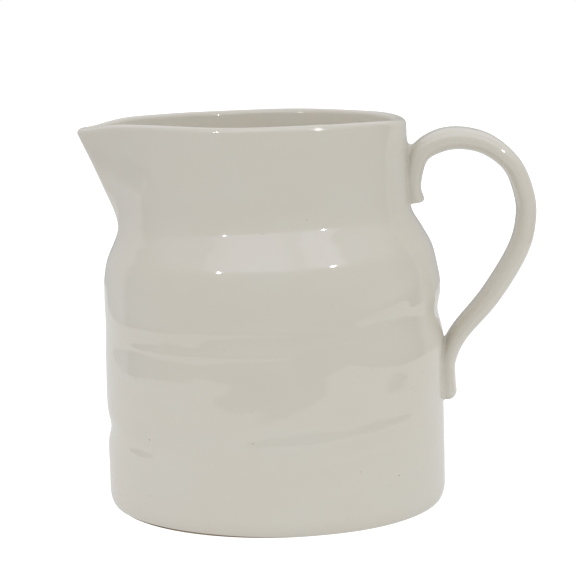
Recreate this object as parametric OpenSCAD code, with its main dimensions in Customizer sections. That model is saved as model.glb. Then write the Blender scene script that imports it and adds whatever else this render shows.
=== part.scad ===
// Ceramic pitcher: a wide glazed vessel with a necked shoulder, a pulled spout,
// a pulled strap handle luted on with slip, and a bare foot.
//
// Frame: the origin is the centre of the resting face, +Z is up, +X points to the handle
// and -X to the spout. Angles round the vessel are counted from +X.

/* [Vessel] */
// Height of the rim above the resting face
rim_h = 190.5; // [176:0.5:205]
// Outer radius of the belly
belly_r = 83.9; // [76:0.1:92]
// Outer radius of the neck
neck_r = 70; // [64:0.1:74]
// Height of the middle of the shoulder, where belly turns into neck
shoulder_z = 131; // [122:1:136]
// Thickness of the wall
wall = 5.2; // [3.6:0.1:7]
// Thickness of the floor
floor_t = 6; // [4:0.5:10]
// How far the rim leans from the foot toward the spout
neck_lean = 3.6; // [0:0.1:5]
// How far the shoulder sits higher at the handle and lower at the spout
shoulder_tilt = 3; // [0:0.1:4]

/* [Spout] */
// Reach of the spout past the neck, for each millimetre of height
spout_flare = 0.425; // [0.25:0.005:0.55]
// Height at which the spout starts to leave the neck
spout_z = 134; // [126:0.5:145]
// Radius of the spout's nose in plan, at the rim
nose_r = 5; // [3:0.5:9]
// How far the pouring edge dips under the rim
lip_dip = 3.3; // [0:0.1:6]

/* [Handle] */
// Width of the strap
strap_w = 24; // [18:0.5:30]
// Thickness of the strap
strap_t = 10.3; // [8:0.1:12]
// How far the outside of the handle stands out from the belly
handle_reach = 46.4; // [40:0.5:60]

/* [Slip joints] */
// Thickness of the slip between the wall and each end of the strap
slip_t = 0.5; // [0.3:0.1:1]
// Height of the slip where it is smoothed up the side of the strap
slip_rise = 1.6; // [0.8:0.1:2.5]

/* [Foot] */
// How far the foot is set in from the belly
foot_inset = 3.5; // [3.3:0.1:8]
// Width of the bare foot
foot_w = 9; // [5:0.5:14]
// Height of the bare foot
foot_h = 1.5; // [1:0.1:3]

/* [Mesh] */
// Points round the vessel
around = 80; // [48:4:104]
// Points round the strap
strap_sides = 20; // [12:2:32]

/* [Hidden] */

$fn = 96;
glaze = "#e4e0d6";
bare_clay = "#b9a48c";
foot_r = belly_r - foot_inset;

// Share of the step from belly to neck, against height above the middle of the shoulder
shoulder_curve = [[-40, 0.02], [-19, 0.09], [-7, 0.25], [2, 0.56], [11, 0.91], [24, 1]];
step_r = belly_r - neck_r;
profile = concat(
    [[0, belly_r]],
    [for (row = shoulder_curve) [shoulder_z + row[0], belly_r - step_r * row[1]]],
    [[rim_h + 5, neck_r]]);

// Throwing rings left in the wall: height, depth, half height, angle they face and how
// far round they reach to each side
rings = [
    [40, 1.6, 6, 180, 42],
    [95, 1.6, 7, 0, 48],
    [79, -0.8, 7, 0, 48],
    [108, -0.6, 8, 0, 48],
    [92, 0.8, 14, 180, 50]
];

// Rounding of the outer corner over the foot: width and height
corner_r = 3.3;
corner_h = 7;
// Rounding between wall and floor inside
inner_corner = 14;
floor_z = foot_h + floor_t;
// Height of the rounded lip, and how far the rim dips over the handle
lip_h = 2.7;
handle_dip = 1.8;
// Nose of the spout inside at the rim, and how much blunter the nose is per millimetre lower
inner_nose_r = 1.5;
nose_growth = 0.3;
// Length over which the spout's ridge eases out of the neck
ridge_ease = 4;
// Height between two rings of the wall's mesh, and how closely its points crowd at the spout
level_pitch = 6;
spout_crowding = 0.7;

function clamp(x, lo = 0, hi = 1) = max(lo, min(hi, x));
function ease(x, from, to) = let (t = clamp((x - from) / (to - from))) t * t * (3 - 2 * t);
function bump(x, at, spread) = exp(-pow((x - at) / spread, 2));

// Angle between two directions, from 0 to 180
function apart(a, b) = acos(cos(a - b));
function mix(a, b, t) = a + (b - a) * t;
function total(list) = [for (item = list) 1] * list;

// Slope of a curve given as [x, y] rows, at one of its rows
function slope(rows, i) =
    let (a = rows[max(i - 1, 0)], b = rows[min(i + 1, len(rows) - 1)])
    (b[1] - a[1]) / (b[0] - a[0]);

// Smooth curve through [x, y] rows
function curve(rows, x) =
    let (
        i = max([for (k = [0:len(rows) - 2]) if (k == 0 || x >= rows[k][0]) k]),
        a = rows[i],
        b = rows[i + 1],
        h = b[0] - a[0],
        t = (x - a[0]) / h
    )
    (1 + 2 * t) * (1 - t) * (1 - t) * a[1] + t * (1 - t) * (1 - t) * h * slope(rows, i)
    + t * t * (3 - 2 * t) * b[1] - t * t * (1 - t) * h * slope(rows, i + 1);

// Smooth line through rows of any length, at place u counted in rows
function thread(rows, u) =
    let (
        i = clamp(floor(u), 0, len(rows) - 2),
        t = u - i,
        b = rows[i],
        c = rows[i + 1],
        a = i > 0 ? rows[i - 1] : 2 * b - c,
        d = i < len(rows) - 2 ? rows[i + 2] : 2 * c - b
    )
    0.5 * (2 * b + (c - a) * t + (2 * a - 5 * b + 4 * c - d) * t * t
        + (3 * b - a - 3 * c + d) * t * t * t);

// X of the vessel's axis at height z
function axis_x(z) = -neck_lean * pow(z / rim_h, 2);

// Sum of the throwing rings at one place on the wall
function ring_depth(z, angle) = total([
    for (ring = rings)
        ring[1] * bump(z, ring[0], ring[2]) * bump(apart(angle, ring[3]), 0, ring[4])
]);

// Outer radius of the wall without its spout
function round_r(z, angle) =
    curve(profile, z - shoulder_tilt * cos(angle) * sin(180 * clamp(z / rim_h)))
    - ring_depth(z, angle);

// Reach of the spout past the round wall
function spout_reach(z) = spout_flare * (z - spout_z + norm([z - spout_z, ridge_ease])) / 2;

// Radius of a circle of radius r drawn out to reach t by two tangents that end in a nose,
// at an angle counted from the middle of the nose
function teardrop(r, t, nose, angle) =
    let (
        centre = t - nose,
        tangent = acos(clamp((r - nose) / centre)),
        edge = atan2(nose * sin(tangent), centre + nose * cos(tangent))
    )
    angle >= tangent ? r
    : angle >= edge ? r / cos(tangent - angle)
    : centre * cos(angle) + sqrt(pow(nose, 2) - pow(centre * sin(angle), 2));

// Radius of the wall at depth inset under its outer face
function wall_r(z, angle, inset = 0) =
    let (
        r = round_r(z, angle),
        t = r + spout_reach(z),
        nose = nose_r + nose_growth * max(rim_h - z, 0),
        inner_nose = mix(nose, inner_nose_r + nose - nose_r, inset / wall),
        centre = (r - inset - inner_nose) * (t - nose) / (r - nose)
    )
    teardrop(r - inset, centre + inner_nose, inner_nose, 180 - abs(angle));

function wall_point(z, angle, inset = 0) =
    let (r = wall_r(z, angle, inset))
    [axis_x(z) + r * cos(angle), r * sin(angle), z];

// Height of the rim over its nominal height: it dips at the pouring edge and at the handle
function rim_rise(angle) = -lip_dip * bump(abs(angle), 180, 13) - handle_dip * bump(angle, 0, 32);

// Angles round the vessel, closer together at the spout
angles = [
    for (i = [0:around - 1])
        let (turn = 360 * i / around)
        turn - 180 - spout_crowding * sin(turn) * 180 / PI
];

function wall_height(z, angle) = z + rim_rise(angle) * ease(z, rim_h - 50, rim_h);

function wall_ring(z, inset = 0) = [for (a = angles) wall_point(wall_height(z, a), a, inset)];

// One ring of the rounded lip: 0 is the outer edge, 180 the inner edge
function lip_ring(turn) = [
    for (a = angles)
        let (
            z = wall_height(rim_h - lip_h, a),
            p = mix(wall_point(z, a), wall_point(z, a, wall), (1 - cos(turn)) / 2)
        )
        [p[0], p[1], z + lip_h * sin(turn)]
];

// Levels from one height to another, about one pitch apart
function levels(from, to, pitch) =
    let (n = ceil(abs(to - from) / pitch))
    [for (i = [0:n]) mix(from, to, i / n)];

outer_rings = concat(
    [for (turn = [0:22.5:67.5])
        wall_ring(foot_h + corner_h * (1 - cos(turn)), corner_r * (1 - sin(turn)))],
    [for (z = levels(foot_h + corner_h, rim_h - lip_h, level_pitch)) wall_ring(z)]);

lip_rings = [for (turn = [30:30:150]) lip_ring(turn)];

inner_rings = concat(
    [for (z = levels(rim_h - lip_h, floor_z + inner_corner, 2 * level_pitch))
        wall_ring(z, wall)],
    [for (turn = [67.5:-22.5:0])
        [for (a = angles)
            let (r = wall_r(floor_z + inner_corner, a, wall) - inner_corner * (1 - sin(turn)))
            [r * cos(a), r * sin(a), floor_z + inner_corner * (1 - cos(turn))]]]);

// Closed skin over a stack of rings, each end filled with a fan to its middle
module skin(stack) {
    n = len(stack[0]);
    last = len(stack) - 1;
    first_middle = total(stack[0]) / n;
    last_middle = total(stack[last]) / n;
    points = concat([for (ring = stack) each ring], [first_middle, last_middle]);
    faces = concat(
        [for (i = [0:n - 1]) [(last + 1) * n, i, (i + 1) % n]],
        [for (k = [0:last - 1], i = [0:n - 1])
            each let (
                a = k * n + i,
                b = k * n + (i + 1) % n
            ) [[a, b + n, b], [a, a + n, b + n]]],
        [for (i = [0:n - 1]) [(last + 1) * n + 1, last * n + (i + 1) % n, last * n + i]]);
    polyhedron(points, faces, convexity = 10);
}

// Stations of the strap: X, height, share of its thickness, share of its width, and how
// square its outer and its inner face are (2 is an ellipse, more is squarer). The upper end
// lies with its outer face down the neck, the lower end with its inner face down the belly.
strap_stations = concat(
    [for (row = [
            [0.8, -42.8, 0.9, 1.04, 5, 2.4],
            [-0.1, -34, 0.74, 0.98, 5, 2.4],
            [3, -20, 0.96, 0.92, 3.5, 2.4]
        ])
        concat([neck_r + row[0], rim_h + row[1]], [for (k = [2:5]) row[k]])],
    [for (row = [
            [-0.02, 0.93, 1.1, 0.9, 2.4, 2.4],
            [0.24, 0.9355, 1.07, 0.96, 2.4, 2.4],
            [0.51, 0.915, 1.01, 1, 2.4, 2.4],
            [0.748, 0.864, 0.92, 1, 2.4, 2.4],
            [0.868, 0.795, 0.93, 1, 2.4, 2.4],
            [0.893, 0.728, 0.93, 1, 2.4, 2.4],
            [0.805, 0.643, 0.96, 1, 2.4, 2.4],
            [0.51, 0.526, 0.95, 0.98, 2.4, 2.4],
            [0.175, 0.43, 0.87, 0.95, 2.4, 2.4],
            [0.045, 0.365, 0.84, 0.95, 2.4, 3.2],
            [0.03, 0.312, 0.87, 0.98, 2.4, 5],
            [0.04, 0.259, 0.96, 1, 2.4, 5]
        ])
        concat([belly_r + row[0] * handle_reach, row[1] * rim_h], [for (k = [2:5]) row[k]])]);
rings_per_station = 4;
strap_rings = rings_per_station * (len(strap_stations) - 1);
// Length over which each end of the strap is rounded off
upper_end_round = 0.8;
lower_end_round = 5;

function signed_root(x, power) = sign(x) * pow(abs(x), power);

// Point moved straight out from the axis until it clears the wall by the slip's thickness
function clear_of_wall(p) =
    let (
        dx = p[0] - axis_x(p[2]),
        angle = atan2(p[1], dx),
        reach = norm([dx, p[1]]),
        r = max(reach, wall_r(p[2], angle) + slip_t)
    )
    [axis_x(p[2]) + r * cos(angle), r * sin(angle), p[2]];

// Share of the full section near an end of the strap whose edge is rounded
function end_share(here, end, edge) =
    let (t = 1 - clamp(norm([here[0] - end[0], here[1] - end[1]]) / edge))
    sqrt(1 - 0.75 * t * t);

// Section number i of the strap: an oval square to its run
function strap_section(i) =
    let (
        u = i / rings_per_station,
        here = thread(strap_stations, u),
        ahead = thread(strap_stations, u + 0.01),
        behind = thread(strap_stations, u - 0.01),
        step = ahead - behind,
        run = [step[0], step[1]] / norm([step[0], step[1]]),
        share = end_share(here, strap_stations[0], upper_end_round)
            * end_share(here, strap_stations[len(strap_stations) - 1], lower_end_round),
        half_t = strap_t / 2 * here[2] * share,
        half_w = strap_w / 2 * here[3] * share
    )
    [for (k = [0:strap_sides - 1])
        let (
            turn = 360 * k / strap_sides,
            power = 2 / (cos(turn) < 0 ? here[4] : here[5]),
            across = half_t * signed_root(cos(turn), power),
            side = half_w * signed_root(sin(turn), power)
        )
        clear_of_wall([here[0] + across * run[1], side, here[1] - across * run[0]])];

// Slip pressed between the wall and one end of the strap, smoothed up its sides.
// Share of the outline from its middle, and height of the slip there.
slip_levels = [
    [0.25, slip_t],
    [0.55, slip_t],
    [0.78, slip_t],
    [0.87, slip_rise],
    [0.95, 0.45 * slip_rise],
    [1, 0.05]
];
slip_sides = 32;
slip_squareness = 0.7;

function slip_place(middle, half_h, half_w, share, turn, lift) =
    let (
        z = middle + half_h * share * signed_root(sin(turn), slip_squareness),
        side = half_w * share * signed_root(cos(turn), slip_squareness),
        angle = asin(side / wall_r(z, 0)),
        r = wall_r(z, angle) + lift
    )
    [axis_x(z) + r * cos(angle), r * sin(angle), z];

// Given the middle height, half height and half width of the outline
module slip_joint(middle, half_h, half_w) {
    turns = [for (k = [0:slip_sides - 1]) 360 * k / slip_sides];
    under = [for (level = slip_levels)
        [for (turn = turns) slip_place(middle, half_h, half_w, level[0], turn, 0)]];
    over = [for (i = [len(slip_levels) - 1:-1:0])
        let (level = slip_levels[i])
        [for (turn = turns)
            slip_place(middle, half_h, half_w, level[0], turn, level[1])]];
    skin(concat(under, over));
}

module body() {
    color(glaze) skin(concat(outer_rings, lip_rings, inner_rings));
}

module handle() {
    color(glaze) skin([for (i = [0:strap_rings]) strap_section(i)]);
}

module upper_slip_joint() {
    color(glaze) slip_joint(rim_h - 29, 16.5, strap_w / 2 + 0.8);
}

module lower_slip_joint() {
    color(glaze) slip_joint(0.339 * rim_h, 17.5, strap_w / 2 + 0.6);
}

module foot_ring() {
    edge = 0.5;
    color(bare_clay) rotate_extrude() polygon([
        [foot_r - foot_w, foot_h],
        [foot_r - foot_w, edge],
        [foot_r - foot_w + edge, 0],
        [foot_r - edge, 0],
        [foot_r, edge],
        [foot_r, foot_h]
    ]);
}

body();
handle();
upper_slip_joint();
lower_slip_joint();
foot_ring();
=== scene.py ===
"""Ceramic pitcher: the glazed looks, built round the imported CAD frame.

The shape functions work in millimetres in the part's own frame: the origin is the centre of the
resting face, +Z is up, +X points to the handle and -X to the spout. Angles round the vessel are
degrees from +X. Everything is turned into metres when a mesh is made.
"""

import math

import bpy
import numpy as np
from mathutils import Matrix, Vector
from mathutils.bvhtree import BVHTree


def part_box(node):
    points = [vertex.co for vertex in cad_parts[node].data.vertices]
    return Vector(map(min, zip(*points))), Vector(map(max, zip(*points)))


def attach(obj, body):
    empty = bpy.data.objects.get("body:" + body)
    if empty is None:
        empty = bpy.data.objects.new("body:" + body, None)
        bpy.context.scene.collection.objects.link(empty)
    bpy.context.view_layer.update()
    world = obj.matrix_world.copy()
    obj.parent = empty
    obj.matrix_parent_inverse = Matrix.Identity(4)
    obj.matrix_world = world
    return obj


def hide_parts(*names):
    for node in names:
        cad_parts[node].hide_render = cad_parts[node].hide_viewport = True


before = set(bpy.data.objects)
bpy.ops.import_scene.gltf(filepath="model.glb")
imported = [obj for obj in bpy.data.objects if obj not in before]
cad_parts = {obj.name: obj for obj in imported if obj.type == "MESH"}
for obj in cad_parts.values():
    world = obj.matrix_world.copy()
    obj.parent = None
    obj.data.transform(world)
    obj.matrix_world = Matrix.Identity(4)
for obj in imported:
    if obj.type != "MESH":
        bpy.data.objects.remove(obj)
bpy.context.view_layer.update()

MM = 0.001


def node_box(node):
    """Lowest and highest corner of a CAD node in millimetres."""
    return [np.array(corner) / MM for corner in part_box(node)]


# ---------------------------------------------------------------------------------- sizes, in mm
# Vessel: its height and its foot's radius come from the frame
RIM_H = node_box("body")[1][2]
FOOT_R, _, FOOT_H = node_box("foot_ring")[1]
FOOT_W = 9.0
BELLY_R = FOOT_R + 3.5
NECK_R = BELLY_R - 13.9
SHOULDER_Z = 131.0
WALL = 5.2
FLOOR_Z = FOOT_H + 6.0
# How far the rim leans toward the spout, and how much lower the shoulder is at the spout and
# higher at the handle and at the sides
NECK_LEAN = 3.6
SHOULDER_TILT = 3.0
SHOULDER_RISE = 0.5

# Spout: reach for each millimetre of height, where it starts and how softly, and its nose
SPOUT_FLARE = 0.425
SPOUT_Z = 134.0
RIDGE_EASE = 4.0
NOSE_R = 5.0
NOSE_GROWTH = 0.3
INNER_NOSE_R = 1.5

# Rim: its dips at the spout and at the handle, each with its reach in degrees, and its rounding
LIP_DIP = 3.3
LIP_REACH = 13
HANDLE_DIP = 1.8
HANDLE_DIP_REACH = 32
LIP_H = 2.7

# Rounding at the foot of the wall, outside and inside, and the dip in the middle of the floor
CORNER_R = 3.3
CORNER_H = 7.0
INNER_CORNER = 14.0
FLOOR_DISH = 0.4

# Lower edge of the glaze over the table, its waver, and where it was wiped higher
GLAZE_EDGE = 0.1
EDGE_WAVER = 0.02
WIPED_EDGE = 1.0
WIPED_AT = -128
WIPED_REACH = 40
# Inside the foot's edge, out of sight: where the underside ends and where the glaze tucks in
UNDERSIDE_INSET = 1.5
TUCK_INSET = 0.3
TUCK_RISE = 0.25

# Strap handle
STRAP_W = 24.0
STRAP_T = 10.3
HANDLE_REACH = 46.4

# Share of the step from belly to neck, against height above the middle of the shoulder
SHOULDER_CURVE = [(-40, 0.02), (-19, 0.09), (-7, 0.25), (2, 0.56), (11, 0.91), (24, 1)]
PROFILE = (
    [(0, BELLY_R)]
    + [(SHOULDER_Z + dz, BELLY_R - (BELLY_R - NECK_R) * share) for dz, share in SHOULDER_CURVE]
    + [(RIM_H + 5, NECK_R)]
)

# Deep throwing rings: height, depth, half height, angle they face, how far round they reach.
# A ring of negative depth stands out of the wall
DEEP_RINGS = [
    (40, 1.6, 6, 180, 42),
    (95, 1.6, 7, 0, 48),
    (79, -0.8, 7, 0, 48),
    (108, -0.6, 8, 0, 48),
    (92, 0.8, 14, 180, 50),
]

# Fine ridges left between two fingers: height, climb per degree, height off the wall, half
# height, angle they face, how far round they reach. A negative one is a groove
FINE_RIDGES = [
    (98, 0.000, 1.30, 9.0, -142, 17),
    (97, 0.000, 0.26, 1.8, -97, 30),
    (86, 0.000, 0.24, 1.8, -105, 34),
    (92, 0.290, 0.22, 1.8, -68, 20),
    (108, 0.390, 1.00, 5.0, -45, 16),
    (174, 0.000, 0.45, 4.0, -152, 5),
    (163, 0.000, -0.50, 4.5, -147, 5),
    (152, 0.000, 0.40, 4.0, -148, 5),
    (45, 0.110, 0.44, 4.4, -68, 30),
    (36, 0.110, 0.20, 2.5, -60, 22),
    (37, 0.000, -0.16, 2.2, -138, 7),
    (66, 0.020, 0.12, 2.2, 95, 75),
    (112, -0.012, 0.12, 2.0, 60, 60),
    (30, 0.060, 0.22, 4.0, 130, 45),
]
RIDGE_WAVER = 0.5

# Faint spiral of the throwing: how far it climbs over its middle height, and for each of its
# two waves height, pitch, then how far, how often and from which angle it wavers
SPIRAL_CLIMB = 5.0
SPIRALS = [(0.030, 21.0, 0.9, 2, 0), (0.012, 11.5, 1.3, 3, 40)]

# Soft lumps: height, how many lie round the wall and from which angle, length up the wall and
# its start. The two finer kinds have only a height, and are scattered by plain formulas
LUMPS = [(0.15, 5, 60, 17, 0), (0.10, 3, -35, 29, 1)]
SMALL_LUMP = 0.035
CROOKED_LUMP = 0.05

# Waver of the hand-cut rim: height, how many waves go round and from which angle. It rests near
# the spout, within this many degrees
RIM_WAVER = [(0.18, 2, 70), (0.16, 5, 20), (0.10, 7, -60)]
QUIET_REACH = 20


# ------------------------------------------------------------------------------- small functions
def cosd(angle):
    return np.cos(np.radians(angle))


def sind(angle):
    return np.sin(np.radians(angle))


def clamp(x, low=0.0, high=1.0):
    return np.clip(x, low, high)


def ease(x, start, end):
    """Rises smoothly from 0 at start to 1 at end."""
    t = clamp((x - start) / (end - start))
    return t * t * (3 - 2 * t)


def bump(x, at, spread):
    """A rounded hump of height 1."""
    return np.exp(-(((x - at) / spread) ** 2))


def mix(a, b, t):
    return a + (b - a) * t


def apart(a, b):
    """Angle between two directions, from 0 to 180."""
    return np.abs((a - b + 180) % 360 - 180)


def curve(rows, x):
    """Smooth curve through (x, y) rows."""
    xs, ys = np.array(rows, float).T
    before = np.maximum(np.arange(len(xs)) - 1, 0)
    after = np.minimum(np.arange(len(xs)) + 1, len(xs) - 1)
    slopes = (ys[after] - ys[before]) / (xs[after] - xs[before])
    i = np.clip(np.searchsorted(xs, x, side="right") - 1, 0, len(xs) - 2)
    h = xs[i + 1] - xs[i]
    t = (x - xs[i]) / h
    return (
        (1 + 2 * t) * (1 - t) ** 2 * ys[i]
        + t * (1 - t) ** 2 * h * slopes[i]
        + t * t * (3 - 2 * t) * ys[i + 1]
        - t * t * (1 - t) * h * slopes[i + 1]
    )


def thread(rows, u):
    """Smooth line through rows of any length, at place u counted in rows."""
    i = int(clamp(math.floor(u), 0, len(rows) - 2))
    t = u - i
    b, c = rows[i], rows[i + 1]
    a = rows[i - 1] if i > 0 else 2 * b - c
    d = rows[i + 2] if i < len(rows) - 2 else 2 * c - b
    return 0.5 * (
        2 * b
        + (c - a) * t
        + (2 * a - 5 * b + 4 * c - d) * t * t
        + (3 * b - a - 3 * c + d) * t**3
    )


# --------------------------------------------------------------------------------- vessel's wall
def axis_x(z):
    """X of the wall's axis, which leans to the spout."""
    return -NECK_LEAN * (z / RIM_H) ** 2


def throwing_marks(z, angle):
    """Depth of the maker's finger marks: a faint spiral, soft lumps and a few fine ridges."""
    climb = z - SPIRAL_CLIMB * sind((angle + 90) / 2)
    marks = 0.0
    for high, pitch, waver, waves, start in SPIRALS:
        marks = marks + high * np.sin(2 * np.pi * climb / pitch + waver * sind(waves * angle + start))
    lumps = 0.0
    for high, count, first, length, start in LUMPS:
        lumps = lumps + high * sind(count * angle + first) * np.sin(z / length + start)
    lumps = lumps + SMALL_LUMP * sind(11 * angle + 4 * z) * np.sin(z / 7 + 2)
    crooked = sind(17 * angle + 150 * np.sin(z / 23)) * np.sin(z / 6 + 2 * sind(3 * angle))
    lumps = lumps + CROOKED_LUMP * crooked
    ridges = 0.0
    for height, climb_rate, high, half_height, facing, reach in FINE_RIDGES:
        turned = (angle - facing + 180) % 360 - 180
        path = height + climb_rate * turned + RIDGE_WAVER * sind(7 * angle + 30)
        ridges = ridges - high * bump(z, path, half_height) * bump(turned, 0, reach)
    return (marks + lumps) * ease(z, FOOT_H, 30) + ridges


def ring_depth(z, angle):
    """Depth of all the marks in the wall."""
    depth = throwing_marks(z, angle)
    for height, deep, half_height, facing, reach in DEEP_RINGS:
        depth = depth + deep * bump(z, height, half_height) * bump(apart(angle, facing), 0, reach)
    return depth


def round_r(z, angle):
    """Outer radius of the wall without its spout."""
    middle = SHOULDER_TILT * cosd(angle) + SHOULDER_RISE * sind(angle) ** 2
    return curve(PROFILE, z - middle * sind(180 * clamp(z / RIM_H))) - ring_depth(z, angle)


def spout_reach(z):
    """How far the spout stands out of the round wall."""
    return SPOUT_FLARE * (z - SPOUT_Z + np.hypot(z - SPOUT_Z, RIDGE_EASE)) / 2


def teardrop(r, tip, nose, angle):
    """Radius of a circle r drawn out to tip by two tangents that end in a rounded nose."""
    centre = tip - nose
    tangent = np.degrees(np.arccos(clamp((r - nose) / centre)))
    edge = np.degrees(np.arctan2(nose * sind(tangent), centre + nose * cosd(tangent)))
    on_line = r / np.maximum(cosd(tangent - angle), 1e-6)
    on_nose = centre * cosd(angle) + np.sqrt(np.maximum(nose**2 - (centre * sind(angle)) ** 2, 0))
    return np.where(angle >= tangent, r, np.where(angle >= edge, on_line, on_nose))


def wall_r(z, angle, inset=0.0):
    """Radius of the wall at a depth under its outer face."""
    r = round_r(z, angle)
    tip = r + spout_reach(z)
    nose = NOSE_R + NOSE_GROWTH * np.maximum(RIM_H - z, 0)
    inner_nose = mix(nose, INNER_NOSE_R + nose - NOSE_R, inset / WALL)
    centre = (r - inset - inner_nose) * (tip - nose) / (r - nose)
    return teardrop(r - inset, centre + inner_nose, inner_nose, apart(angle, 180))


def wall_point(z, angle, inset=0.0):
    r = wall_r(z, angle, inset)
    return np.stack([axis_x(z) + r * cosd(angle), r * sind(angle), z + 0 * r], axis=-1)


def rim_rise(angle):
    """Height of the rim over its nominal height, with the slight waver of a hand-cut edge."""
    from_spout = apart(angle, 180)
    waver = sum(high * sind(waves * angle + start) for high, waves, start in RIM_WAVER)
    dips = LIP_DIP * bump(from_spout, 0, LIP_REACH) + HANDLE_DIP * bump(angle, 0, HANDLE_DIP_REACH)
    return waver * (1 - bump(from_spout, 0, QUIET_REACH)) - dips


def wall_height(z, angle):
    """Height of a point of the wall, which follows the rim's waver near the top."""
    return z + rim_rise(angle) * ease(z, RIM_H - 50, RIM_H)


def levels(start, end, pitch):
    """Evenly spaced heights from start to end, no further apart than pitch."""
    return np.linspace(start, end, math.ceil(abs(end - start) / pitch) + 1)


# ---------------------------------------------------------------------------------------- meshes
def make_piece(name, points, faces, material, sharp=()):
    """A smooth shaded piece from points in millimetres, riding on the vessel's only body.

    The points in sharp lie along creases: the shading breaks on the edges between them."""
    mesh = bpy.data.meshes.new(name)
    mesh.from_pydata((np.asarray(points) * MM).tolist(), [], faces)
    mesh.validate()
    mesh.polygons.foreach_set("use_smooth", [True] * len(mesh.polygons))
    mesh.materials.append(material)
    creased = set(sharp)
    for edge in mesh.edges if creased else ():
        edge.use_edge_sharp = edge.vertices[0] in creased and edge.vertices[1] in creased
    piece = bpy.data.objects.new(name, mesh)
    bpy.context.scene.collection.objects.link(piece)
    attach(piece, "root")
    return piece


def tube(rings, closed=False):
    """Points and faces of a skin over rings of points. An open tube gets a fan at each end."""
    rings = np.asarray(rings)
    count, n = rings.shape[:2]
    points = rings.reshape(-1, 3)
    faces = []
    for k in range(count if closed else count - 1):
        here, there = k * n, (k + 1) % count * n
        for i in range(n):
            j = (i + 1) % n
            faces.append((here + i, here + j, there + j, there + i))
    if not closed:
        middles = [rings[0].mean(axis=0), rings[-1].mean(axis=0)]
        first, last = count * n, count * n + 1
        points = np.vstack([points, middles])
        end = (count - 1) * n
        faces += [(first, (i + 1) % n, i) for i in range(n)]
        faces += [(last, end + i, end + (i + 1) % n) for i in range(n)]
    return points, faces


def round_angles(count, crowding=0.7):
    """Angles round the vessel, closer together at the spout."""
    turn = np.arange(count) * 360 / count
    return turn - 180 - np.degrees(crowding * sind(turn))


# --------------------------------------------------------------------------------- vessel's body
def body_rings(angles, pitch):
    """Rings from the underside's middle out, up the wall, over the lip and down inside."""
    wiped = WIPED_EDGE * bump(apart(angles, WIPED_AT), 0, WIPED_REACH)
    glaze_edge = GLAZE_EDGE + wiped + EDGE_WAVER * sind(9 * angles)

    def level_ring(r, z):
        r = r + 0 * angles
        return np.stack([r * cosd(angles), r * sind(angles), z + 0 * r], axis=-1)

    def wall_ring(z, inset=0.0):
        return wall_point(wall_height(z, angles), angles, inset)

    def lip_ring(turn):
        z = wall_height(RIM_H - LIP_H, angles)
        p = mix(wall_point(z, angles), wall_point(z, angles, WALL), (1 - cosd(turn)) / 2)
        p[:, 2] += LIP_H * sind(turn)
        return p

    def corner_ring(turn):
        z = mix(glaze_edge, FOOT_H + CORNER_H, 1 - cosd(turn))
        return wall_point(z, angles, CORNER_R * (1 - sind(turn)))

    def floor_ring(turn):
        corner = FLOOR_Z + INNER_CORNER
        r = wall_r(corner, angles, WALL) - INNER_CORNER * (1 - sind(turn))
        return level_ring(r, corner - INNER_CORNER * cosd(turn))

    underside_r = FOOT_R - UNDERSIDE_INSET
    rings = [level_ring(share * underside_r, FOOT_H) for share in (0.25, 0.5, 0.75, 0.95, 1)]
    rings += [level_ring(FOOT_R - TUCK_INSET, glaze_edge + TUCK_RISE)]
    rings += [corner_ring(turn) for turn in np.arange(0, 90, 6)]
    rings += [wall_ring(z) for z in levels(FOOT_H + CORNER_H, RIM_H - LIP_H, pitch)]
    rings += [lip_ring(turn) for turn in np.arange(11.25, 180, 11.25)]
    rings += [wall_ring(z, WALL) for z in levels(RIM_H - LIP_H, FLOOR_Z + INNER_CORNER, 3 * pitch)]
    rings += [floor_ring(turn) for turn in np.arange(82.5, -1, -7.5)]
    edge = rings[-1]
    rings += [edge * (s, s, 1) - (0, 0, FLOOR_DISH * (1 - s)) for s in (0.8, 0.6, 0.4, 0.2)]
    return rings


# ----------------------------------------------------------------------------------- strap handle
# X, height, share of thickness, share of width, squareness of the outer and of the inner face.
# The first three stations lie down the neck, the last three down the belly.
STATIONS = [
    (NECK_R + x, RIM_H + z, t, w, outer, inner)
    for x, z, t, w, outer, inner in [
        (0.8, -42.8, 0.9, 1.04, 5, 2.4),
        (-0.1, -34, 0.74, 0.98, 5, 2.4),
        (3, -20, 0.96, 0.92, 3.5, 2.4),
    ]
] + [
    (BELLY_R + x * HANDLE_REACH, z * RIM_H, t, w, outer, inner)
    for x, z, t, w, outer, inner in [
        (-0.02, 0.93, 1.1, 0.9, 2.4, 2.4),
        (0.24, 0.9355, 1.07, 0.96, 2.4, 2.4),
        (0.51, 0.915, 1.01, 1, 2.4, 2.4),
        (0.748, 0.864, 0.92, 1, 2.4, 2.4),
        (0.868, 0.795, 0.93, 1, 2.4, 2.4),
        (0.893, 0.728, 0.93, 1, 2.4, 2.4),
        (0.805, 0.643, 0.96, 1, 2.4, 2.4),
        (0.51, 0.526, 0.95, 0.98, 2.4, 2.4),
        (0.175, 0.43, 0.87, 0.95, 2.4, 2.4),
        (0.045, 0.365, 0.84, 0.95, 2.4, 3.2),
        (0.03, 0.312, 0.87, 0.98, 2.4, 5),
        (0.04, 0.259, 0.96, 1, 2.4, 5),
    ]
]
# How deep the strap's ends sink into the wall, and how they are rounded off
STRAP_SINK = 0.4
UPPER_END_ROUND = 1.2
LOWER_END_ROUND = 4.0
THINNEST_END = 0.2


def signed_root(x, power):
    """Power of a number that keeps its sign."""
    return np.sign(x) * np.abs(x) ** power


def round_axis(points):
    """Distance from the wall's axis, and angle round it."""
    dx = points[:, 0] - axis_x(points[:, 2])
    return np.hypot(dx, points[:, 1]), np.degrees(np.arctan2(points[:, 1], dx))


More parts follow.
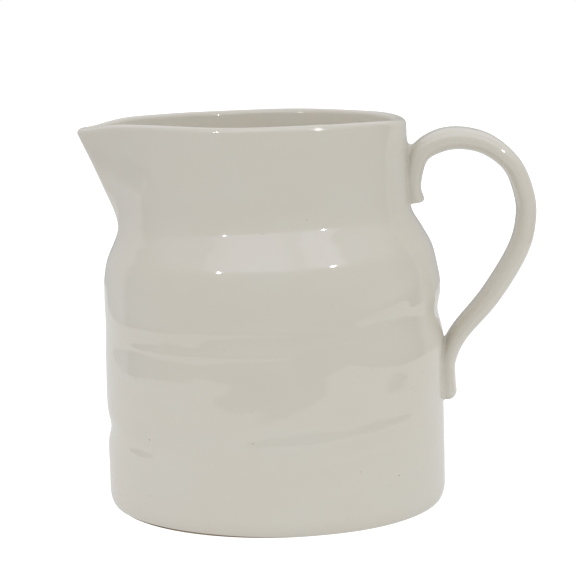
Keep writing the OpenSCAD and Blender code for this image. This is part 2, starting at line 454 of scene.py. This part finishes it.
def clear_of_wall(points, lift):
    """Points moved straight out from the axis until they clear the wall by lift."""
    z = points[:, 2]
    r, angle = round_axis(points)
    r = np.maximum(r, wall_r(z, angle) + lift)
    return np.stack([axis_x(z) + r * cosd(angle), r * sind(angle), z], axis=-1)


def strap_section(u, turn):
    """Section of the strap at place u: an oval square to its run, rounded off at both ends."""
    rows = np.array(STATIONS, float)
    here = thread(rows, u)
    step = thread(rows, u + 0.01) - thread(rows, u - 0.01)
    run = step[:2] / np.hypot(*step[:2])
    inset = 0.0
    for end, edge in ((rows[0], UPPER_END_ROUND), (rows[-1], LOWER_END_ROUND)):
        t = 1 - clamp(np.hypot(*(here[:2] - end[:2])) / edge)
        inset += edge * (1 - math.sqrt(1 - t * t))
    half_t = STRAP_T / 2 * here[2]
    half_t -= min(inset, (1 - THINNEST_END) * half_t)
    half_w = STRAP_W / 2 * here[3] - inset
    power = 2 / np.where(cosd(turn) < 0, here[4], here[5])
    across = half_t * signed_root(cosd(turn), power)
    side = half_w * signed_root(sind(turn), power)
    points = np.stack([here[0] + across * run[1], side, here[1] - across * run[0]], axis=-1)
    return clear_of_wall(points, -STRAP_SINK)


def strap_rings(sides, per_station):
    """Sections along the strap, closer together where its ends are rounded."""
    turn = np.arange(sides) * 360 / sides
    last = len(STATIONS) - 1
    near_end = np.array([0, 0.02, 0.05, 0.09, 0.14, 0.2, 0.28, 0.36, 0.44])
    places = np.concatenate([
        near_end * 0.5,
        levels(0.26, last - 0.6, 1 / per_station),
        last - near_end[::-1] * 1.2,
    ])
    return [strap_section(u, turn) for u in places]


# --------------------------------------------------------------------------------- slip fillets
# Piece and node, height of its middle, half its height, and how softly the slip fills the corner
# at the strap's sides and over its top
SLIPS = [
    ("upper_joint_slip", "upper_slip_joint", RIM_H - 29, 16.5, 1.6, 6.5),
    ("lower_joint_slip", "lower_slip_joint", 0.339 * RIM_H, 17.5, 1.6, 2.6),
]
# How far the softer top reaches to each side, in degrees round the joint
TOP_REACH = 45
# How deep the slip's hidden edges sink into the wall, and how many rows of points its skin has
SLIP_SINK = 0.5
SKIN_ROWS = 17


def wall_place(middle, s, z, lift):
    """Points on the wall at arc length s to the side of the handle's plane, lifted off it."""
    angle = np.degrees(s / wall_r(middle, 0.0))
    return wall_point(z, angle, -lift)


def smooth_loop(values, passes=3):
    """Evens out values that go round in a loop."""
    for _ in range(passes):
        values = (np.roll(values, 1) + 2 * values + np.roll(values, -1)) / 4
    return values


def fillet_rings(strap, middle, half_h, half_w, turns, soft):
    """Slip smoothed into the corner between the wall and one end of the strap, ring by ring.

    Wall and strap are joined as two soft blobs would be: the slip's skin is where their
    smooth minimum distance is zero, so it leaves both of them without a step. Every function
    works on one point for each of the turns round the joint."""
    def outline(share, lift):
        s = half_w * share * cosd(turns)
        return wall_place(middle, s, middle + half_h * share * sind(turns), lift)

    def to_strap(points):
        signed = []
        for point in points * MM:
            hit, normal, _, distance = strap.find_nearest(point)
            signed.append(math.copysign(distance / MM, (Vector(point) - hit).dot(normal)))
        return np.array(signed)

    def to_wall(points):
        r, angle = round_axis(points)
        return r - wall_r(points[:, 2], angle)

    def over_skin(points):
        a, b = to_wall(points), to_strap(points)
        return np.minimum(a, b) - np.maximum(soft - np.abs(a - b), 0) ** 2 / (4 * soft)

    def last_share(lift, margin, start=0.3, stop=2.2, step=0.02):
        """How far out the strap is still within a margin of the outline at some lift."""
        last = np.zeros(len(turns))
        for share in np.arange(start, stop, step):
            last[to_strap(outline(share, lift)) < margin] = share
        return smooth_loop(last)

    def skin(inside, outside):
        """Points between two others where the slip's skin lies, found by halving."""
        low, high = np.zeros(len(turns)), np.ones(len(turns))
        for _ in range(12):
            t = (low + high) / 2
            within = over_skin(mix(inside, outside, t[:, None])) < 0
            low, high = np.where(within, t, low), np.where(within, high, t)
        return mix(inside, outside, high[:, None])

    # Shares of the outline: the corner where the strap meets the wall, and the slip's two edges
    corner = last_share(0.05, 0)
    wall_edge = last_share(0, soft)
    strap_edge = last_share(soft, 0)
    inside = outline(corner - 0.04, 0)
    on_wall, on_strap = outline(wall_edge, 0), outline(strap_edge, soft)
    rows = [outline(wall_edge + 0.02, -SLIP_SINK)]
    rows += [skin(inside, mix(on_wall, on_strap, t)) for t in np.linspace(0, 1, SKIN_ROWS)]
    rows += [outline(corner - 0.12, -SLIP_SINK)]
    return np.stack(rows, axis=1)


# -------------------------------------------------------------------------------------- bare foot
def foot_rings(angles):
    """The unglazed ring under the body: a flat face with a softened edge on each side."""
    soft = 0.7
    inner_r = FOOT_R - FOOT_W
    turns = (15, 35, 55, 75, 90)
    hidden_top = FOOT_H + 0.3
    outline = [(inner_r, hidden_top), (inner_r, FOOT_H)]
    outline += [(inner_r + soft * (1 - cosd(t)), soft * (1 - sind(t))) for t in turns]
    outline += [(FOOT_R - FOOT_W * share, 0.0) for share in (0.75, 0.5, 0.25)]
    outline += [(FOOT_R - soft * (1 - cosd(t)), soft * (1 - sind(t))) for t in reversed(turns)]
    outline += [(FOOT_R, FOOT_H), (FOOT_R, hidden_top)]
    return [[(r * cosd(a), r * sind(a), z) for r, z in outline] for a in angles]


# ------------------------------------------------------------------------------------- materials
class Nodes:
    """Short helper for building a material's node tree."""

    def __init__(self, name):
        self.material = bpy.data.materials.new(name)
        self.material.use_nodes = True
        self.tree = self.material.node_tree
        self.shader = self.tree.nodes["Principled BSDF"]
        self.position = self.add("ShaderNodeTexCoord").outputs["Object"]

    def add(self, kind, inputs=None, **settings):
        node = self.tree.nodes.new(kind)
        for key, value in settings.items():
            setattr(node, key, value)
        for key, value in (inputs or {}).items():
            self.plug(value, node.inputs[key])
        return node

    def plug(self, value, socket):
        if isinstance(value, bpy.types.NodeSocket):
            self.tree.links.new(value, socket)
        else:
            socket.default_value = value

    def noise(self, scale, detail=3.0, roughness=0.5, distortion=0.0, stretch=None):
        vector = self.position
        if stretch:
            vector = self.add("ShaderNodeMapping", {"Vector": vector, "Scale": stretch}).outputs[0]
        node = self.add(
            "ShaderNodeTexNoise",
            {"Vector": vector, "Scale": scale, "Detail": detail, "Roughness": roughness,
             "Distortion": distortion},
        )
        return node.outputs["Fac"]

    def ramp(self, value, *stops):
        node = self.add("ShaderNodeValToRGB", {"Fac": value})
        elements = node.color_ramp.elements
        while len(elements) < len(stops):
            elements.new(0.5)
        for element, (place, colour) in zip(elements, stops):
            element.position = place
            element.color = (*colour, 1)
        return node.outputs["Color"]

    def between(self, value, low, high, to_low, to_high):
        node = self.add("ShaderNodeMapRange", {
            "Value": value, "From Min": low, "From Max": high, "To Min": to_low, "To Max": to_high})
        return node.outputs["Result"]

    def blend(self, factor, a, b):
        node = self.add("ShaderNodeMix", data_type="RGBA", blend_type="MIX")
        for name, value in (("Factor", factor), ("A", a), ("B", b)):
            socket = next(s for s in node.inputs if s.name == name and s.enabled)
            self.plug(value, socket)
        return next(s for s in node.outputs if s.enabled)

    def bump(self, height, distance, strength=1.0, normal=None):
        inputs = {"Height": height, "Distance": distance, "Strength": strength}
        if normal is not None:
            inputs["Normal"] = normal
        return self.add("ShaderNodeBump", inputs).outputs["Normal"]


GLAZE = (0.676, 0.645, 0.568)
GLAZE_WARM = (0.680, 0.641, 0.560)
GLAZE_COOL = (0.673, 0.651, 0.581)
GLAZE_POOL = (0.61, 0.57, 0.485)
IRON_SPECK = (0.30, 0.24, 0.17)
# Bare clay tones: the clay's own brown, darkened further as painted shade for the crevice under the
# glaze edge
CLAY = (0.24, 0.175, 0.12)
CLAY_DARK = (0.13, 0.09, 0.06)
CLAY_PALE = (0.36, 0.28, 0.2)
DARK_SAND = (0.09, 0.06, 0.04)


def glaze_material(name, painted_lift=1.0):
    """Glossy warm white glaze, pooled a little unevenly over pale stoneware. A painted lift above 1
    makes every tone paler, as painted light.
    """
    n = Nodes(name)
    warm, plain, cool = [[painted_lift * c for c in tone] for tone in (GLAZE_WARM, GLAZE, GLAZE_COOL)]
    cloud = n.noise(22, detail=3, roughness=0.55, stretch=(1, 1, 1.6))
    pools = n.noise(70, detail=2, distortion=0.6, stretch=(1, 1, 1.8))
    colour = n.ramp(cloud, (0.35, warm), (0.5, plain), (0.68, cool))
    colour = n.blend(n.between(pools, 0.3, 0.7, 0.0, 0.06), colour, (*GLAZE_POOL, 1))
    specks = n.noise(520, detail=1)
    colour = n.blend(n.between(specks, 0.79, 0.83, 0.0, 0.5), colour, (*IRON_SPECK, 1))
    n.plug(colour, n.shader.inputs["Base Color"])
    n.plug(n.between(n.noise(60, detail=4), 0.3, 0.7, 0.03, 0.06), n.shader.inputs["Roughness"])
    waves = n.bump(n.noise(60, detail=2, roughness=0.4), 0.00025, 0.6)
    peel = n.bump(n.noise(420, detail=2), 0.000012, 0.5, waves)
    n.plug(peel, n.shader.inputs["Normal"])
    n.shader.inputs["IOR"].default_value = 1.5
    return n.material


def clay_material():
    """Bare stoneware: matt, sandy and scuffed where it stands, in tones darkened as painted shade so
    the band under the glaze edge shows as a dark crevice line.
    """
    n = Nodes("bare_clay")
    grain = n.noise(1400, detail=4, roughness=0.7)
    stain = n.noise(60, detail=3)
    colour = n.ramp(stain, (0.3, CLAY_DARK), (0.5, CLAY), (0.7, CLAY_PALE))
    colour = n.blend(n.between(grain, 0.4, 0.75, 0.0, 0.6), colour, (*CLAY_PALE, 1))
    sand = n.noise(2600, detail=2)
    colour = n.blend(n.between(sand, 0.68, 0.74, 0.0, 0.7), colour, (*DARK_SAND, 1))
    n.plug(colour, n.shader.inputs["Base Color"])
    n.plug(n.between(grain, 0.3, 0.7, 0.8, 0.95), n.shader.inputs["Roughness"])
    n.plug(n.bump(grain, 0.0002, 0.8), n.shader.inputs["Normal"])
    return n.material


# ----------------------------------------------------------------------------------------- pieces
# How many sides each piece has, the body's pitch in mm and the strap's steps for each station
BODY_SIDES = 320
BODY_PITCH = 1.2
STRAP_SIDES = 56
STRAP_STEPS = 11
SLIP_SIDES = 128
FOOT_SIDES = 192


def build_body(glaze):
    angles = round_angles(BODY_SIDES)
    points, faces = tube(body_rings(angles, BODY_PITCH))
    piece = make_piece("pitcher_body", points, faces, glaze)
    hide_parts("body")


def build_handle(glaze):
    """Makes the strap, and gives back its skin for the slip to meet."""
    points, faces = tube(strap_rings(STRAP_SIDES, STRAP_STEPS))
    piece = make_piece("strap_handle", points, faces, glaze)
    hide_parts("handle")
    return BVHTree.FromPolygons([Vector(p * MM) for p in points], faces)


def build_slips(glaze, strap):
    turns = np.arange(SLIP_SIDES, 0, -1) * 360 / SLIP_SIDES
    for name, node, middle, half_h, side_soft, top_soft in SLIPS:
        soft = mix(side_soft, top_soft, bump(turns, 90, TOP_REACH))
        rings = fillet_rings(strap, middle, half_h, STRAP_W / 2, turns, soft)
        points, faces = tube(rings, closed=True)
        n = len(rings[0])
        borders = [k * n + i for k in range(len(rings)) for i in (1, n - 2)]
        piece = make_piece(name, points, faces, glaze, sharp=borders)
        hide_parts(node)


def build_foot(clay):
    angles = np.arange(FOOT_SIDES, 0, -1) * 360 / FOOT_SIDES
    points, faces = tube(foot_rings(angles), closed=True)
    piece = make_piece("bare_foot", points, faces, clay)
    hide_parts("foot_ring")


# ------------------------------------------------------------------------ floor, light, camera, in m
# Radiances, where 1 is plain white
DOME_ABOVE = 0.95
DOME_BELOW = 0.7
ROOM = 0.12
SWEEP = 0.54
BEHIND = 0.42
CEILING = 0.35
LAMP = 1500
# How much stronger the dome is to the right
MORE_RIGHT = 0.06
# How much bluer the light is from the left, and the mirrored light from above
COOL_LEFT = 0.045
COOL_ABOVE = 0.25

# Azimuths are degrees in plan from the camera's side, to the right
SWEEP_FROM = 182
SWEEP_HALF = 60
BEHIND_HALF = 15
# How softly the sweep, its dimmer middle, the boxes' lower edges and the horizon fade
SWEEP_SOFT = 0.1
BEHIND_SOFT = 0.02
LOW_EDGE_SOFT = 0.05
HORIZON_SOFT = 0.1
# Azimuth, half width, softness of the sides, slope of the lower edge, radiance it adds
SOFT_BOXES = [(2.5, 58, 0.04, 0.64, 0.5), (-14, 28, 0.12, 0.64, 0.42), (45, 15, 0.04, 0.54, 0.6)]
# Sine of the elevation at which the ceiling starts, and how softly
CEILING_EDGE = (0.46, 0.2)

LAMP_AZIMUTHS = {"left_lamp": -38, "right_lamp": 46}
LAMP_ELEVATION = 30
LAMP_DISTANCE = 1.5
LAMP_SIZE = 0.042
# Watts, radius and height of the light inside the vessel
INNER_POWER = 0.025
INNER_RADIUS = 0.02
INNER_HEIGHT = 0.1

# Floor and table: their own glow, their grey, and where they lie
FLOOR_GLOW = 1.0
TABLE_GLOW = 0.52
FLOOR_GREY = 0.28
FLOOR_HALF = 12
TABLE_FRONT = 0.371
TABLE_BACK = 0.8
TABLE_SIDE = 0.42
FLOOR_DROP = 0.0002

MIDDLE = Vector((0, 0, 0.12))
CAMERA_PLACE = (0.00717, -1.010, 0.25564)
CAMERA_DOWN = 8.45
CAMERA_ROLL = 1.22
CAMERA_LENS = 128.6


def make_plane(name, low, high, z, material):
    corners = [(low[0], low[1], z), (high[0], low[1], z), (high[0], high[1], z), (low[0], high[1], z)]
    mesh = bpy.data.meshes.new(name)
    mesh.from_pydata(corners, [], [(0, 1, 2, 3)])
    mesh.materials.append(material)
    plane = bpy.data.objects.new(name, mesh)
    bpy.context.scene.collection.objects.link(plane)
    return plane


def floor_material(name, emission):
    """Matt, and lit mostly from within, so that shadows hardly show on it."""
    material = bpy.data.materials.new(name)
    material.use_nodes = True
    shader = material.node_tree.nodes["Principled BSDF"]
    shader.inputs["Base Color"].default_value = (FLOOR_GREY, FLOOR_GREY, FLOOR_GREY, 1)
    shader.inputs["Roughness"].default_value = 0.9
    shader.inputs["Specular IOR Level"].default_value = 0.0
    shader.inputs["Emission Color"].default_value = (1, 1, 1, 1)
    shader.inputs["Emission Strength"].default_value = emission
    return material


def add_light(data, place):
    light = bpy.data.objects.new(data.name, data)
    light.location = place
    light.visible_camera = False
    bpy.context.scene.collection.objects.link(light)
    return light


def build_lamp(name, azimuth):
    """A small square lamp, seen only as a highlight on the glaze, that faces the pitcher."""
    level = LAMP_DISTANCE * cosd(LAMP_ELEVATION)
    rise = LAMP_DISTANCE * sind(LAMP_ELEVATION)
    place = MIDDLE + Vector((level * sind(azimuth), -level * cosd(azimuth), rise))
    data = bpy.data.lights.new(name, "AREA")
    data.size = LAMP_SIZE
    data.energy = LAMP * math.pi * LAMP_SIZE**2
    lamp = add_light(data, place)
    lamp.rotation_euler = (MIDDLE - place).to_track_quat("-Z", "Y").to_euler()
    lamp.visible_diffuse = False


def build_inner_light():
    """Weak light inside the vessel, where the glaze bounces the light from above about."""
    data = bpy.data.lights.new("inner_light", "POINT")
    data.shadow_soft_size = INNER_RADIUS
    data.energy = INNER_POWER
    add_light(data, (0, 0, INNER_HEIGHT)).visible_glossy = False


class Sky:
    """The world's node tree, with the direction that a ray leaves in."""

    def __init__(self, name):
        world = bpy.data.worlds.new(name)
        bpy.context.scene.world = world
        world.use_nodes = True
        self.tree = world.node_tree
        self.tree.nodes.clear()
        split = self.add("ShaderNodeSeparateXYZ", self.add("ShaderNodeTexCoord").outputs["Generated"])
        self.x, self.y, self.z = split.outputs
        squares = self.plus(self.times(self.x, self.x), self.times(self.y, self.y))
        self.level = self.calc("MAXIMUM", self.calc("SQRT", squares), 0.001)
        self.slope = self.calc("DIVIDE", self.z, self.level)

    def add(self, kind, *values):
        """A node with its first sockets filled by links or by plain values."""
        node = self.tree.nodes.new(kind)
        for socket, value in zip(node.inputs, values):
            if isinstance(value, bpy.types.NodeSocket):
                self.tree.links.new(value, socket)
            else:
                socket.default_value = value
        return node

    def calc(self, operation, *values, clamped=False):
        node = self.add("ShaderNodeMath", *values)
        node.operation = operation
        node.use_clamp = clamped
        return node.outputs[0]

    def plus(self, a, b):
        return self.calc("ADD", a, b)

    def times(self, a, b):
        return self.calc("MULTIPLY", a, b)

    def beyond(self, value, edge, width):
        """Grows from 0 to 1 as a value passes an edge."""
        start = self.calc("SUBTRACT", value, edge - width / 2)
        return self.calc("MULTIPLY", start, 1 / width, clamped=True)

    def within(self, azimuth, half_width, softness):
        """Falls from 1 to 0 where the direction in plan leaves a sector."""
        along = self.plus(self.times(self.x, sind(azimuth)), self.times(self.y, -cosd(azimuth)))
        return self.beyond(self.calc("DIVIDE", along, self.level), cosd(half_width), softness)

    def join(self, factor, a, b):
        return self.add("ShaderNodeMixShader", factor, a, b).outputs[0]

    def emit(self, colour, strength):
        return self.add("ShaderNodeBackground", colour, strength).outputs[0]


def mirrored_studio(sky):
    """What the glaze mirrors: a dim room, a paler sweep behind the pitcher that falls off right
    behind it, a bright ceiling and a row of soft boxes high in front."""
    light = sky.plus(ROOM, sky.times(sky.within(SWEEP_FROM, SWEEP_HALF, SWEEP_SOFT), SWEEP - ROOM))
    light = sky.plus(light, sky.times(sky.within(180, BEHIND_HALF, BEHIND_SOFT), BEHIND - SWEEP))
    light = sky.plus(light, sky.times(sky.beyond(sky.z, *CEILING_EDGE), CEILING))
    for azimuth, half_width, softness, low_edge, radiance in SOFT_BOXES:
        above = sky.beyond(sky.slope, low_edge, LOW_EDGE_SOFT)
        box = sky.times(sky.within(azimuth, half_width, softness), above)
        light = sky.plus(light, sky.times(box, radiance))
    return light


def soft_dome(sky):
    """What the matt part of the glaze is lit by: an even dome, a little stronger to the right."""
    upper = sky.beyond(sky.z, 0, HORIZON_SOFT)
    dome = sky.plus(DOME_BELOW, sky.times(upper, DOME_ABOVE - DOME_BELOW))
    right = sky.times(sky.calc("MAXIMUM", sky.x, 0), MORE_RIGHT)
    return sky.times(dome, sky.plus(1, right))


def build_world():
    """Plain white to the camera, a studio to the gloss, and a soft dome to everything else."""
    sky = Sky("studio")
    path = sky.add("ShaderNodeLightPath").outputs
    mirrored, dome = mirrored_studio(sky), soft_dome(sky)
    extra = sky.times(path["Is Glossy Ray"], sky.calc("SUBTRACT", mirrored, dome))
    left = sky.plus(1, sky.times(sky.calc("MINIMUM", sky.x, 0), -COOL_LEFT))
    above = sky.times(path["Is Glossy Ray"], sky.beyond(sky.z, *CEILING_EDGE))
    blue = sky.plus(left, sky.times(above, COOL_ABOVE))
    tint = sky.add("ShaderNodeCombineColor", 1, 1, blue).outputs[0]
    around = sky.emit(tint, sky.plus(dome, extra))
    shown = sky.join(path["Is Camera Ray"], around, sky.emit((1, 1, 1, 1), 1))
    sky.add("ShaderNodeOutputWorld", shown)


def build_stage():
    """The floor that the camera sees, the unseen table that lights the pitcher, and the lights."""
    floor = make_plane("studio_floor", (-FLOOR_HALF, -FLOOR_HALF), (FLOOR_HALF, FLOOR_HALF),
                       -2 * FLOOR_DROP, floor_material("floor_white", FLOOR_GLOW))
    table = make_plane("table_top", (-TABLE_SIDE, -TABLE_FRONT), (TABLE_SIDE, TABLE_BACK),
                       -FLOOR_DROP, floor_material("table_white", TABLE_GLOW))
    table.visible_camera = False
    floor.visible_glossy = floor.visible_diffuse = floor.visible_shadow = False
    build_world()
    for name, azimuth in LAMP_AZIMUTHS.items():
        build_lamp(name, azimuth)
    build_inner_light()


def build_camera():
    """The view of the pitcher: from 1 m, a little above it and rolled slightly."""
    data = bpy.data.cameras.new("camera")
    data.sensor_width = 36
    data.lens = CAMERA_LENS
    camera = bpy.data.objects.new("camera", data)
    camera.matrix_world = (
        Matrix.Translation(CAMERA_PLACE)
        @ Matrix.Rotation(math.radians(90 - CAMERA_DOWN), 4, "X")
        @ Matrix.Rotation(math.radians(-CAMERA_ROLL), 4, "Z")
    )
    bpy.context.scene.collection.objects.link(camera)
    bpy.context.scene.camera = camera


# ----------------------------------------------------------------------------------- everything
glaze = glaze_material("glaze")
# Same glaze on the strap, made 2.5% paler as painted light that lifts the strap's shaded faces
strap_glaze_painted_lighter = glaze_material("strap_glaze_painted_lighter", painted_lift=1.025)
build_body(glaze)
strap = build_handle(strap_glaze_painted_lighter)
build_slips(glaze, strap)
build_foot(clay_material())
build_stage()
build_camera()
bpy.context.scene.view_settings.view_transform = "Standard"
